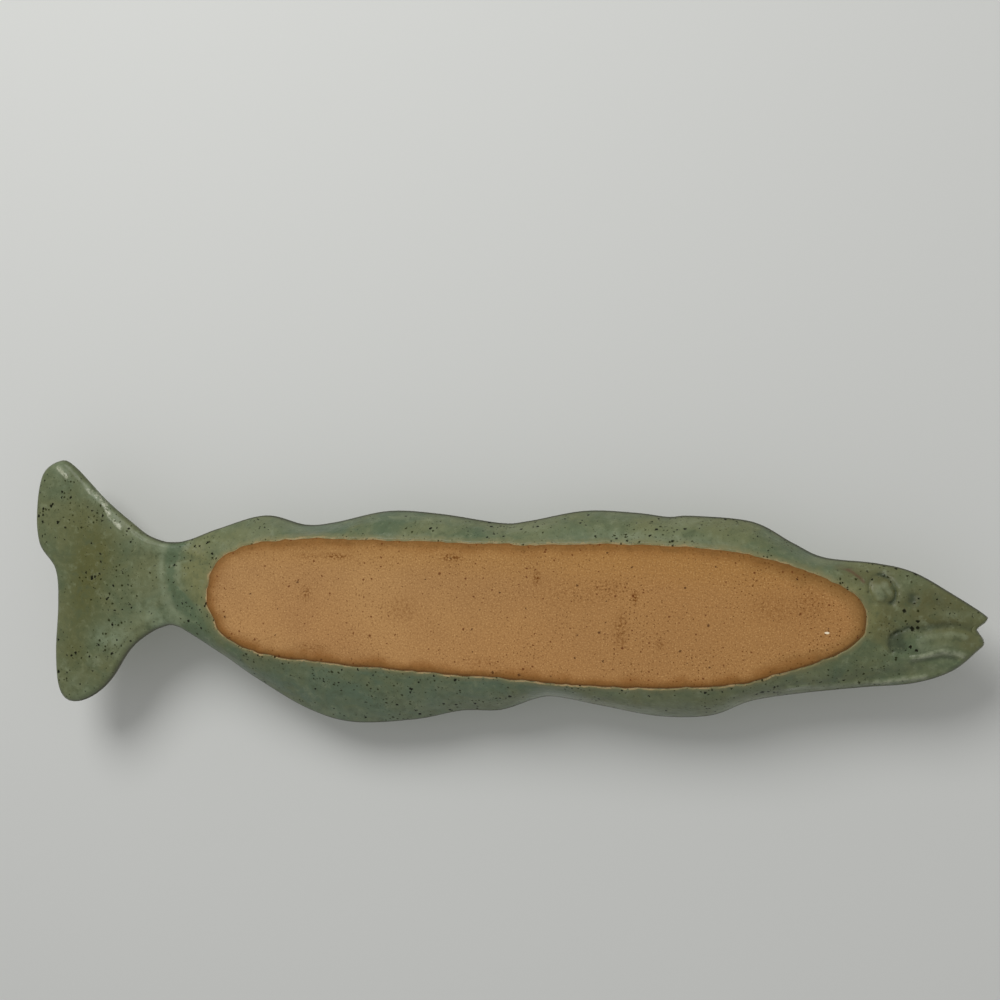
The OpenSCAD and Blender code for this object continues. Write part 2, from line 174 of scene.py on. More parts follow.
# The two dip lines that cross the neck, as points from the belly to the back
BODY_DIP_LINE = [(219.0, -31.0), (222.5, -17.3), (226.9, -9.2), (230.5, -1.1), (232.4, 6.5),
                 (233.0, 14.8), (232.6, 30.0)]
TAIL_DIP_LINE = [(196.5, -31.2), (201.5, -21.9), (208.7, -10.2), (217.6, -3.5), (225.4, 4.7),
                 (225.9, 15.1), (220.4, 30.0)]
# A brown streak beside the eye where the clay shows through
STREAK_LINE = [(-186.0, 34.9), (-190.0, 34.2), (-194.5, 32.4), (-198.5, 29.8), (-201.0, 27.6)]

# Kiln smudges on the foot: strength, place and half-sizes in millimetres
SMUDGES = [
    (0.9, 117, 26.6, 9, 2.0), (0.6, 136, 25.6, 6, 1.5), (1.0, 43, 29.5, 6.5, 2.4),
    (1.0, -10.5, 20, 2.2, 3.6), (1.0, -70, 11.5, 2.2, 4.2), (0.75, -62, -8, 4.0, 10.0),
    (0.7, -86, -15.5, 2.6, 3.0), (0.4, -55, 16.5, 9.0, 6.0), (0.8, 136, 2.5, 3.0, 4.4),
    (0.4, 74, -4, 9, 7), (0.3, -30, 12, 22, 9), (0.4, -150, 10, 12, 8),
    (0.5, 130, -31, 9, 3), (0.4, 20, -33, 12, 2.6), (0.45, -172, 14, 8, 9),
]
# A small pale chip in the foot, as place and half-sizes
CHIP = (-181.6, -2.3, 1.5, 0.7)


def unit(v):
    return v / np.linalg.norm(v, axis=-1, keepdims=True)


def mix(a, b, s):
    return a + (b - a) * s


def smooth(x, low, high):
    s = np.clip((np.asarray(x, float) - low) / (high - low), 0, 1)
    return s * s * (3 - 2 * s)


def ripple(x, y, size, seed):
    """A smooth uneven value from -1 to 1, changing over size millimetres."""
    return noise.noise(Vector((x / size, y / size, seed)))


def waves(x, y, rows):
    return sum(height * ripple(x, y, size, seed) for height, size, seed in rows)


def spline_loop(points, steps):
    """A smooth closed line through the points, with that many steps from each to the next."""
    out = []
    for i, count in enumerate(steps):
        a, b, c, d = (points[(i + k) % len(points)] for k in (-1, 0, 1, 2))
        for s in np.arange(count) / count:
            out.append((2 * b + (c - a) * s + (2 * a - 5 * b + 4 * c - d) * s * s
                        + (3 * b - a - 3 * c + d) * s ** 3) / 2)
    return np.array(out)


def edge_loop():
    """The fish's edge, and the number of its first tail column."""
    rows, facets = [], []
    for table, width, facet in ((BACK_EDGE, BODY_WIDTH, RIM_FACET), (HEAD_EDGE, BODY_WIDTH, HEAD_FACET),
                                (BELLY_EDGE, BODY_WIDTH, RIM_FACET), (TAIL_EDGE, TAIL_WIDTH, TAIL_FACET)):
        rows += [(x * LENGTH, y * width, h * RIM_HEIGHT) for x, y, h in table]
        facets += [facet] * len(table)
    points = np.array(rows)
    gaps = np.linalg.norm((np.roll(points, -1, 0) - points)[:, :2], axis=1)
    steps = [max(1, round(gap / facet)) for gap, facet in zip(gaps, facets)]
    return spline_loop(points, steps), sum(steps[:len(points) - len(TAIL_EDGE)])


EDGE, TAIL_START = edge_loop()
COLUMNS = len(EDGE)
FOOT = spline_loop(np.array(FOOT_EDGE) * (FOOT_LENGTH, FOOT_WIDTH), [FOOT_STEPS] * len(FOOT_EDGE))


def cross2(a, b):
    return a[..., 0] * b[..., 1] - a[..., 1] * b[..., 0]


def core_at(p):
    """The place on the core line from which a column towards p starts."""
    s = (p[0] - HEAD_END[0]) / (TAIL_END[0] - HEAD_END[0])
    return mix(HEAD_END, TAIL_END, min(1, max(0, s)))


def edge_normal(i):
    """The direction straight out of the edge at column i."""
    t = unit((EDGE[(i + NORMAL_REACH) % COLUMNS] - EDGE[(i - NORMAL_REACH) % COLUMNS])[:2])
    return np.array([t[1], -t[0]])


def foot_hit(c, d):
    """Where the line from c along d crosses the foot's border."""
    a, b = FOOT, np.roll(FOOT, -1, 0)
    reach = cross2(a - c, b - a) / cross2(d, b - a)
    k = np.nonzero((cross2(d, a - c) < 0) & (cross2(d, b - c) >= 0) & (reach > 0))[0][0]
    return c + d * reach[k]


# The neck line, across which the tail's columns run, from the belly's side to the back's
NECK_LOW = EDGE[TAIL_START][:2] - edge_normal(TAIL_START) * NECK_INSET
NECK_HIGH = EDGE[0][:2] - edge_normal(0) * NECK_INSET
NECK_OUT = unit(np.array([NECK_HIGH[1] - NECK_LOW[1], NECK_LOW[0] - NECK_HIGH[0]]))


def hermite(d, a, b, slope_a, slope_b):
    """The height at d of a smooth curve from point a to point b, with those slopes."""
    length = b[0] - a[0]
    s = (d - a[0]) / length
    return (a[1] * (1 + 2 * s) * (1 - s) ** 2 + b[1] * s * s * (3 - 2 * s)
            + length * slope_a * s * (1 - s) ** 2 - length * slope_b * s * s * (1 - s))


def ripples(x, y, size, seed):
    return np.reshape([ripple(a, b, size, seed) for a, b in zip(np.ravel(x), np.ravel(y))], np.shape(x))


def off_line(x, y, points):
    """Distances of the places x, y from a line through the points."""
    best = np.full(np.shape(x), 1e9)
    for a, b in zip(np.array(points[:-1]), np.array(points[1:])):
        run = b - a
        s = np.clip(((x - a[0]) * run[0] + (y - a[1]) * run[1]) / (run @ run), 0, 1)
        best = np.minimum(best, np.hypot(x - a[0] - s * run[0], y - a[1] - s * run[1]))
    return best


def creases(x, y, table):
    """The summed depth of a table's creases at the places x, y."""
    return sum(depth * np.exp(-(off_line(x, y, points) / width) ** 2)
               for points, width, depth in table)


def eye_dome(x, y):
    """The eye's low uneven dome as a depth, so below zero."""
    r = np.hypot((x - EYE[0]) / EYE_HALF[0], (y - EYE[1]) / EYE_HALF[1])
    return -EYE_HEIGHT * np.clip(1 - r ** 4, 0, 1) * (1 + 0.5 * ripples(x, y, 4.0, 12.0))


class Column:
    """One line of the sheet from the foot's border out to the edge."""

    def __init__(self, i):
        self.tail = i >= TAIL_START or i == 0
        edge, out = EDGE[i][:2], edge_normal(i)
        self.share = 1.0 if i == 0 else (i - TAIL_START) / (COLUMNS - TAIL_START)
        neck = mix(NECK_LOW, NECK_HIGH, self.share)
        aim = neck if self.tail else edge
        self.core = core_at(aim)
        start = foot_hit(self.core, unit(aim - self.core))
        if not self.tail:
            out = unit(mix(unit(edge - self.core), out, OUTWARD_SHARE))
        inner = edge - out * min(EDGE_BAND, np.linalg.norm(edge - start) * BAND_SHARE)
        points = [start]
        if self.tail:
            bend = neck + NECK_OUT * np.linalg.norm(inner - neck) * BEND_SHARE
            for s in np.linspace(0, 1, FIN_STEPS + 1):
                points.append(mix(mix(neck, bend, s), mix(bend, inner, s), s))
        else:
            points.append(inner)
        self.path = np.array(points + [edge])
        self.runs = np.concatenate([[0], np.cumsum(np.linalg.norm(np.diff(self.path, axis=0), axis=1))])
        self.run, self.neck_run = self.runs[-1], self.runs[1]
        self.rim = EDGE[i][2]
        self.slope = math.atan2(self.rim - LIP_RADIUS - GLAZE_LINE, self.run - LIP_RADIUS)
        self.lip_slope = min(STEEPEST_LIP, self.slope * LIP_STEEPENING)
        drawn_in = BELLY_DRAW * float(smooth(-start[1], 0.0, 20.0))
        self.line = max(INNERMOST_LINE, LINE_PLACE - drawn_in + waves(*start, LINE_WAVES))

    def along(self, d):
        """The place in plan at a distance from the foot's border."""
        k = min(max(int(np.searchsorted(self.runs, d)), 1), len(self.path) - 1)
        return self.path[k - 1] + unit(self.path[k] - self.path[k - 1]) * (d - self.runs[k - 1])

    def lip_point(self, turn):
        """Distance and height at a turn in degrees round the lip, from the underside."""
        a = self.lip_slope + math.radians(turn)
        return (self.run - LIP_RADIUS + LIP_RADIUS * math.sin(a),
                self.rim - LIP_RADIUS - LIP_RADIUS * math.cos(a))

    def height(self, d, start, lift, slope_start):
        """The height of the underside, or of the dish side where lift is the clay's thickness."""
        end = self.lip_point(180 if lift else 0)
        if not self.tail:
            return hermite(d, start, end, slope_start, math.tan(self.lip_slope))
        neck = (self.neck_run, mix(NECK_MID, NECK_SIDE, (2 * self.share - 1) ** 2) + lift)
        if d < neck[0]:
            return hermite(d, start, neck, slope_start, math.tan(self.slope))
        return hermite(d, neck, end, math.tan(self.slope), math.tan(self.lip_slope))

    def unevenness(self, p, d):
        """The hand-rolled sheet's slight waves, none at the foot."""
        return waves(*p, SHEET_WAVES) * float(smooth(d, *WAVES_FADE))

    def under(self, d):
        p = self.along(d)
        if d < 0:
            z = GLAZE_LINE * (1 + d / FOOT_BEVEL) ** BEVEL_ROUNDING
        else:
            z = self.height(d, (0, GLAZE_LINE), 0, math.tan(self.slope * FOOT_SLOPE_SHARE))
        return p[0], p[1], z + self.unevenness(p, d)

    def dish(self, d):
        p = self.along(d)
        z = self.height(d, (-WELL_FILLET, SLAB), SLAB, 0)
        return p[0], p[1], z + self.unevenness(p, d)

    def lip(self, turn):
        d, z = self.lip_point(turn)
        p = self.along(d)
        return p[0], p[1], z + self.unevenness(p, d)

    def span(self, start, end, row, rows, neck_row):
        """The distance at which a row lies. On the tail one row follows the neck line."""
        if not self.tail:
            return mix(start, end, row / rows)
        if row <= neck_row:
            return mix(start, self.neck_run, row / neck_row)
        return mix(end, self.neck_run, ((rows - row) / (rows - neck_row)) ** ROW_CROWDING)

    def points(self):
        """The column's points from the middle of the foot over the lip to the dish's floor."""
        out = []
        border = self.along(-FOOT_BEVEL)
        for s in FOOT_RINGS:
            out.append((*mix(border, self.core, s), 0.0))
        for s in BEVEL_ROWS:
            out.append(self.under(mix(-FOOT_BEVEL, self.line, s)))
        for d in LINE_STEPS:
            out.append(self.under(self.line + d))
        low, high = self.lip_point(0)[0], self.lip_point(180)[0]
        end = low - min(EDGE_BAND, low * BAND_SHARE)
        for row in range(WALL_ROWS + 1):
            out.append(self.under(self.span(WALL_START, end, row, WALL_ROWS, WALL_NECK_ROW)))
        for s in LIP_LEAD:
            out.append(self.under(mix(end, low, s)))
        for turn in range(LIP_STEPS + 1):
            out.append(self.lip(180 * turn / LIP_STEPS))
        end = high - min(EDGE_BAND, (high + WELL_FILLET) * BAND_SHARE)
        for s in reversed(LIP_LEAD):
            out.append(self.dish(mix(end, high, s)))
        for row in range(DISH_ROWS, -1, -1):
            out.append(self.dish(self.span(-WELL_FILLET, end, row, DISH_ROWS, DISH_NECK_ROW)))
        border = self.along(-WELL_FILLET)
        for s in FLOOR_RINGS:
            p = mix(border, self.core, s)
            out.append((*p, SLAB + waves(*p, FLOOR_WAVES) * float(smooth(s, 0.0, 0.15))))
        return out


# Rows at which the glaze line, wall, neck, lip and dish start
LINE_ROW = len(FOOT_RINGS) + len(BEVEL_ROWS)
WALL_ROW = LINE_ROW + len(LINE_STEPS)
NECK_ROW = WALL_ROW + WALL_NECK_ROW
LIP_ROW = WALL_ROW + WALL_ROWS + 1 + len(LIP_LEAD)
LIP_END = LIP_ROW + LIP_STEPS + 1
DISH_ROW = LIP_END + len(LIP_LEAD)
DISH_NECK = DISH_ROW + DISH_ROWS - DISH_NECK_ROW

COLUMN_LIST = [Column(i) for i in range(COLUMNS)]
SHEET = np.array([c.points() for c in COLUMN_LIST])
ROWS = SHEET.shape[1]
X, Y = SHEET[..., 0], SHEET[..., 1]

# Distances in plan: outwards from the foot's border, and inwards from the fish's edge
STARTS = np.array([c.path[0] for c in COLUMN_LIST])[:, None]
ENDS = EDGE[:, None, :2]
OUTWARDS = np.sign(np.sum((SHEET[..., :2] - STARTS) * (ENDS - STARTS), axis=2))
FROM_FOOT = np.linalg.norm(SHEET[..., :2] - STARTS, axis=2) * OUTWARDS
FROM_EDGE = np.linalg.norm(SHEET[..., :2] - ENDS, axis=2)

# Relief worked into the clay: pressed in where positive, more lumpy on the head and tail
HEAD_PART = 1 - smooth(X, -192.0, -180.0)
TAIL_PART = smooth(X, 236.0, 262.0)
WIDE_LUMPS = (0.05 + 0.2 * HEAD_PART + 0.13 * TAIL_PART) * ripples(X, Y, 6.5, 13.0)
SMALL_LUMPS = (0.03 + 0.11 * HEAD_PART + 0.05 * TAIL_PART) * ripples(X, Y, 3.0, 14.0)
RELIEF = eye_dome(X, Y) + creases(X, Y, BACK_RELIEF) + creases(X, Y, TAIL_RELIEF)
RELIEF = (RELIEF + (WIDE_LUMPS + SMALL_LUMPS)) * smooth(FROM_FOOT, 1.0, 4.0)
RELIEF = RELIEF * smooth(FROM_EDGE, 0.6, 3.6)
RELIEF[:, LIP_ROW:] = 0
FACE = (eye_dome(X, Y) - creases(X, Y, FACE_RELIEF)) * HEAD_PART
FACE = FACE * smooth(FROM_FOOT, -6.0, 1.0) * smooth(FROM_EDGE, 0.6, 3.6)
FACE[:, :LIP_END] = 0
SHEET[..., 2] += RELIEF - FACE


def lattice_normals(points):
    across = np.roll(points, -1, 0) - np.roll(points, 1, 0)
    up = np.empty_like(points)
    up[:, 1:-1] = points[:, 2:] - points[:, :-2]
    up[:, 0] = points[:, 1] - points[:, 0]
    up[:, -1] = points[:, -1] - points[:, -2]
    normals = unit(np.cross(across, up))
    normals[:, :len(FOOT_RINGS) - 1] = (0, 0, -1)
    normals[:, -2:] = (0, 0, 1)
    return normals


def line_x(line):
    """Where a line that crosses the neck lies in x, for every point of the sheet."""
    return np.interp(Y, [y for _, y in line], [x for x, _ in line])


# How far each point lies beyond the two uneven dip lines, and the dips' soft ends
WOBBLE = 1.3 * ripples(X, Y, 11.0, 6.0)
BODY_DIP_AT = X + WOBBLE - line_x(BODY_DIP_LINE)
TAIL_DIP_AT = X + WOBBLE - line_x(TAIL_DIP_LINE)
BODY_DIP = smooth(BODY_DIP_AT, -1.6, 1.6)
DIP_BLUR = 1.0 + 2.6 * smooth(-Y, -2.0, 12.0)
TAIL_DIP = smooth(TAIL_DIP_AT / DIP_BLUR, -1.0, 1.0)
OVERLAP = TAIL_DIP * (1 - BODY_DIP)

# Glaze thickness: a thin start with a fat bead at the foot, thicker where the dips overlap
THICKNESS = GLAZE + OVERLAP_GLAZE * OVERLAP
for step, share in enumerate(LINE_SHARES):
    THICKNESS[:, LINE_ROW + step] *= share
NORMALS = lattice_normals(SHEET)
OUTER = SHEET + NORMALS * THICKNESS[..., None]
OUTER_NORMALS = lattice_normals(OUTER)

# Where the glaze differs, as values from 0 to about 1 at every point of the sheet
# The lip's dark line: partly iron showing through the thin glaze, partly painted shade where the rounded
# lip turns from the light, weaker on the tail's upper side
LIP_MASK = smooth(FROM_EDGE, 1.0, 0.3) * (1 - 0.6 * TAIL_PART * smooth(Y, 8.0, 24.0))
LINE_DISTANCE = np.linalg.norm(SHEET[..., :2] - SHEET[:, LINE_ROW:LINE_ROW + 1, :2], axis=2)
LINE_DISTANCE[:, LIP_ROW:] = FAR_FROM_LINE


def spots(rows):
    """Soft oval spots: strength, place and half-sizes in millimetres."""
    return sum(strength * np.exp(-((X - x) / half_x) ** 2 - ((Y - y) / half_y) ** 2)
               for strength, x, y, half_x, half_y in rows)


def near_lines(rows, width):
    """Soft bands of that width along the rows' lines."""
    return sum(np.exp(-(off_line(X, Y, points) / width) ** 2) for points, _, _ in rows)


# Olive clouds of the tail and head, and pale thin glaze on high places and edges; the band along the tail's
# margin and the thin line along the belly's crest are partly painted highlight
OLIVE = spots([
    (1.0, 290, 2, 15, 38), (0.65, 277, 20, 13, 15), (0.55, 297, -42, 11, 18), (0.3, 300, 46, 16, 18),
    (0.9, -211, 3, 8, 10), (0.8, -238, 15, 20, 12), (0.45, -250, 9, 16, 10), (0.5, -262, -4, 6, 6),
    (0.45, -198, 31, 12, 5), (0.6, -211, 26, 9, 8), (0.4, -85, -52, 45, 9),
]) + 0.3 * HEAD_PART * smooth(Y, -4.0, 16.0)
PALE = spots([
    (0.8, 272, -35, 17, 9), (0.6, 247, 27, 14, 7), (0.6, 242, -14, 14, 16), (0.4, 296, -70, 12, 8),
    (0.25, 310, 62, 10, 14), (0.5, 283, 60, 13, 8), (0.1, -242, -6, 15, 5), (0.2, -224, 26, 3, 8),
    (0.4, -250, 12, 14, 3), (0.5, 120, -76, 40, 6), (0.35, 66, -66, 30, 5), (0.35, -110, -52, 30, 4),
    (0.4, -180, -35, 40, 3), (1.0, 231, -25, 9, 7), (0.2, -230, -21, 20, 7), (0.4, -60, 48, 50, 4),
    (0.35, 45, -58, 40, 8), (0.35, -136, -50, 14, 8),
]) + 0.45 * near_lines(TAIL_MARGIN, 5.0)
# Blue-green belly, and warm glaze thinned by wiping near the foot
BELLY = smooth(-Y - 0.06 * X, 26.0, 40.0) * smooth(X, -190.0, -20.0) * (1 - smooth(X, 190.0, 235.0))
WARM = (1 - TAIL_DIP) * np.clip(spots([
    (1.1, 212, 16, 13, 17), (0.5, 190, 34, 22, 9), (0.55, 206, -2, 7, 14), (0.35, -80, 52, 80, 10),
    (0.4, -232, -21, 18, 8), (0.3, -110, -48, 60, 10), (0.35, -247, -4, 14, 6), (0.35, -50, -54, 60, 12),
    (1.0, -206, 9, 5, 11), (0.9, -196, 23, 9, 5),
]), 0, 1)
# Pale ridges at the two dips' ends, the streak, and hollows where the glaze pools dark, with painted shade
# deepening the hollows and a painted highlight on the relief's ridges
BODY_RIDGE = np.exp(-((BODY_DIP_AT - 2.6) / 2.4) ** 2)
TAIL_RIDGE = 0.7 * np.exp(-((TAIL_DIP_AT + 2.4) / 2.0) ** 2) * smooth(Y, -4.0, 5.0)
RIDGE = BODY_RIDGE + TAIL_RIDGE
STREAK = np.exp(-(off_line(X + 0.5 * WOBBLE, Y + 0.4 * WOBBLE, STREAK_LINE) / 0.75) ** 2)
STREAK[:, LIP_ROW:] = 0
POOL_SHADE_HIGHLIGHT = RELIEF + FACE + spots([
    (0.5, 166, 42, 26, 9), (0.35, -236, 17, 14, 8), (0.3, -211, -9, 7, 10), (0.3, -201, 27, 9, 8),
    (0.5, -246, -5, 12, 5),
])
# Crests of the tail's margin, the lower lip and the belly, which fade off the head: the glaze is glossier
# there, and a painted highlight is laid along them
CREST_PART = 0.25 + 0.75 * smooth(-X, 190.0, 218.0)
SHEEN = near_lines(TAIL_MARGIN, 2.6) + CREST_PART * near_lines([LOWER_LIP, BELLY_CREST], 1.4)


def add_object(name, data):
    obj = bpy.data.objects.new(name, data)
    bpy.context.scene.collection.objects.link(obj)
    return obj


def make_mesh(name, points, faces, corner_normals, values):
    """A piece from points in millimetres, with a normal for each corner and a value for each point."""
    mesh = bpy.data.meshes.new(name)
    mesh.from_pydata([tuple(p * 0.001) for p in points], [], faces)
    for key, column in values.items():
        mesh.attributes.new(key, "FLOAT", "POINT").data.foreach_set("value", column.astype(np.float32))
    mesh.polygons.foreach_set("use_smooth", [True] * len(faces))
    flat = [n for p, normals in zip(mesh.polygons, corner_normals)
            for n in (normals if normals is not None else [p.normal] * p.loop_total)]
    mesh.normals_split_custom_set([tuple(n) for n in flat])
    return add_object(name, mesh)


def vertex(i, r):
    return (i % COLUMNS) * ROWS + r


def cell(i, r):
    return [vertex(i, r), vertex(i + 1, r), vertex(i + 1, r + 1), vertex(i, r + 1)]


def slab_piece(name):
    """The closed clay sheet, with one face for the foot's middle and one for the dish's."""
    faces = [cell(i, r) for i in range(COLUMNS) for r in range(ROWS - 1)]
    faces.append([vertex(i, 0) for i in range(COLUMNS - 1, -1, -1)])
    faces.append([vertex(i, ROWS - 1) for i in range(COLUMNS)])
    normals = NORMALS.reshape(-1, 3)
    corners = [[normals[v] for v in face] for face in faces]
    return make_mesh(name, SHEET.reshape(-1, 3), faces, corners, {"line": LINE_DISTANCE.ravel()})


def coat_piece(name, cells, floor):
    """A closed coat of glaze over the named cells of the sheet."""
    outside = [cell(i, r) for i, r in cells]
    if floor:
        outside.append([vertex(i, ROWS - 1) for i in range(COLUMNS)])
    edges = {(a, b) for face in outside for a, b in zip(face, face[1:] + face[:1])}
    border = sorted(e for e in edges if (e[1], e[0]) not in edges)
    used = sorted({v for face in outside for v in face})
    number = {v: k for k, v in enumerate(used)}
    count = len(used)
    out_normals, in_normals = OUTER_NORMALS.reshape(-1, 3), NORMALS.reshape(-1, 3)
    faces, corners = [], []
    for face in outside:
        faces.append([number[v] for v in face])
        corners.append([out_normals[v] for v in face])
        faces.append([number[v] + count for v in reversed(face)])
        corners.append([-in_normals[v] for v in reversed(face)])
    for a, b in border:
        faces.append([number[b], number[a], number[a] + count, number[b] + count])
        corners.append(None)
    points = np.concatenate([OUTER.reshape(-1, 3)[used], SHEET.reshape(-1, 3)[used]])
    values = {"line": LINE_DISTANCE, "lip": LIP_MASK, "overlap": OVERLAP, "body_dip": BODY_DIP,
              "olive": OLIVE, "pale": PALE, "belly": BELLY, "warm": WARM, "ridge": RIDGE,
              "streak": STREAK, "pool_shade_highlight": POOL_SHADE_HIGHLIGHT, "sheen": SHEEN}
    values = {key: np.tile(v.ravel()[used], 2) for key, v in values.items()}
    return make_mesh(name, points, faces, corners, values)


def dipped(i, r):
    """Whether a cell of the sheet lies on the tail, which was dipped on its own."""
    return i >= TAIL_START and NECK_ROW <= r < DISH_NECK


coat_cells = [(i, r) for i in range(COLUMNS) for r in range(LINE_ROW, ROWS - 1)]
clay = slab_piece("clay_slab")
body_coat = coat_piece("green_coat", [c for c in coat_cells if not dipped(*c)], True)
tail_coat = coat_piece("tail_coat", [c for c in coat_cells if dipped(*c)], False)


def linear(red, green, blue):
    """A colour written as sRGB 0 to 255, in the linear values that Blender takes."""
    out = [c / 255 for c in (red, green, blue)]
    return tuple(c / 12.92 if c <= 0.04045 else ((c + 0.055) / 1.055) ** 2.4 for c in out) + (1.0,)


class Shader:
    """A material's node tree, with short calls for the nodes used here."""

    def __init__(self, name):
        self.material = bpy.data.materials.new(name)
        self.material.use_nodes = True
        self.tree = self.material.node_tree
        self.tree.nodes.clear()
        self.colour = None

    @cached_property
    def coordinates(self):
        return self.node("ShaderNodeTexCoord").outputs["Object"]

    def node(self, kind, inputs=(), **settings):
        made = self.tree.nodes.new(kind)
        for key, value in settings.items():
            setattr(made, key, value)
        for key, value in dict(inputs).items():
            if isinstance(value, bpy.types.NodeSocket):
                self.tree.links.new(value, made.inputs[key])
            else:
                made.inputs[key].default_value = value
        return made

    def math(self, operation, *values, clamp=False):
        """The values put together by one operation, from the first to the last."""
        out = values[0]
        for value in values[1:]:
            out = self.node("ShaderNodeMath", {0: out, 1: value}, operation=operation,
                            use_clamp=clamp).outputs[0]
        return out

    def add(self, *values):
        return self.math("ADD", *values)

    def less(self, *values):
        return self.math("SUBTRACT", *values)

    def times(self, *values):
        return self.math("MULTIPLY", *values)

    def most(self, *values):
        return self.math("MAXIMUM", *values)

    def vector(self, operation, *values):
        return self.node("ShaderNodeVectorMath", dict(enumerate(values)), operation=operation)

    def place(self):
        """The object's x and y, in metres."""
        return self.node("ShaderNodeSeparateXYZ", {0: self.coordinates}).outputs[:2]

    def attribute(self, name):
        return self.node("ShaderNodeAttribute", attribute_name=name).outputs["Fac"]

    def noise(self, scale, detail=4.0, roughness=0.55, distortion=0.0, vector=None):
        return self.node("ShaderNodeTexNoise", {
            "Vector": vector or self.coordinates, "Scale": scale, "Detail": detail,
            "Roughness": roughness, "Distortion": distortion}).outputs["Fac"]

    def range(self, value, low, high, to_low=0.0, to_high=1.0):
        return self.node("ShaderNodeMapRange", {0: value, 1: low, 2: high, 3: to_low, 4: to_high},
                         interpolation_type="SMOOTHSTEP").outputs[0]

    def mix(self, factor, a, b):
        return self.node("ShaderNodeMix", {0: factor, 6: a, 7: b}, data_type="RGBA").outputs[2]

    def paint(self, colour, *amounts):
        """Lays a colour over what is painted so far, as strongly as the amounts' product says."""
        self.colour = self.mix(self.times(*amounts), self.colour, linear(*colour))

    def moved(self, offset, scale=(1, 1, 1)):
        return self.node("ShaderNodeMapping", {"Vector": self.coordinates, "Location": offset,
                                               "Scale": scale}).outputs[0]

    def off_spot(self, x, y, half_x, half_y):
        """Distance from a place in millimetres, measured in the spot's half-sizes."""
        shifted = self.moved((-x / half_x, -y / half_y, 0), (1000 / half_x, 1000 / half_y, 0))
        return self.vector("LENGTH", shifted).outputs["Value"]

    def specks(self, size, radius, offset, spread=1.5, stretch=(1, 1, 1), grouping=1.0, through="3D"):
        """Uneven grains of up to that radius, one in each cell of that size, in metres."""
        bend = self.node("ShaderNodeTexNoise", {"Vector": self.coordinates, "Scale": 0.9 / radius,
                                                "Detail": 3.0}).outputs["Color"]
        shift = self.vector("MULTIPLY", bend, (radius * 1.9,) * 3).outputs[0]
        place = self.vector("ADD", self.moved(offset, stretch), shift).outputs[0]
        cells = self.node("ShaderNodeTexVoronoi", {"Vector": place, "Scale": 1 / size},
                          voronoi_dimensions=through)
        pick = self.node("ShaderNodeSeparateColor", {0: cells.outputs["Color"]}).outputs[0]
        share = radius / size
        blur = share * 0.2
        limit = self.times(self.times(self.math("POWER", pick, spread), share), grouping)
        beyond = self.less(cells.outputs["Distance"], self.less(limit, blur))
        return self.range(beyond, blur, -blur)

    def finish(self, bump_height, bump_depth, roughness, specular, others=()):
        """Ends the material with the colour painted so far and a bump in metres."""
        bump = self.node("ShaderNodeBump", {"Height": bump_height, "Distance": bump_depth, "Strength": 1.0})
        shader = self.node("ShaderNodeBsdfPrincipled", {
            "Base Color": self.colour, "Roughness": roughness, "Specular IOR Level": specular,
            "Normal": bump.outputs[0], **dict(others)})
        self.node("ShaderNodeOutputMaterial", {"Surface": shader.outputs[0]})
        return self.material


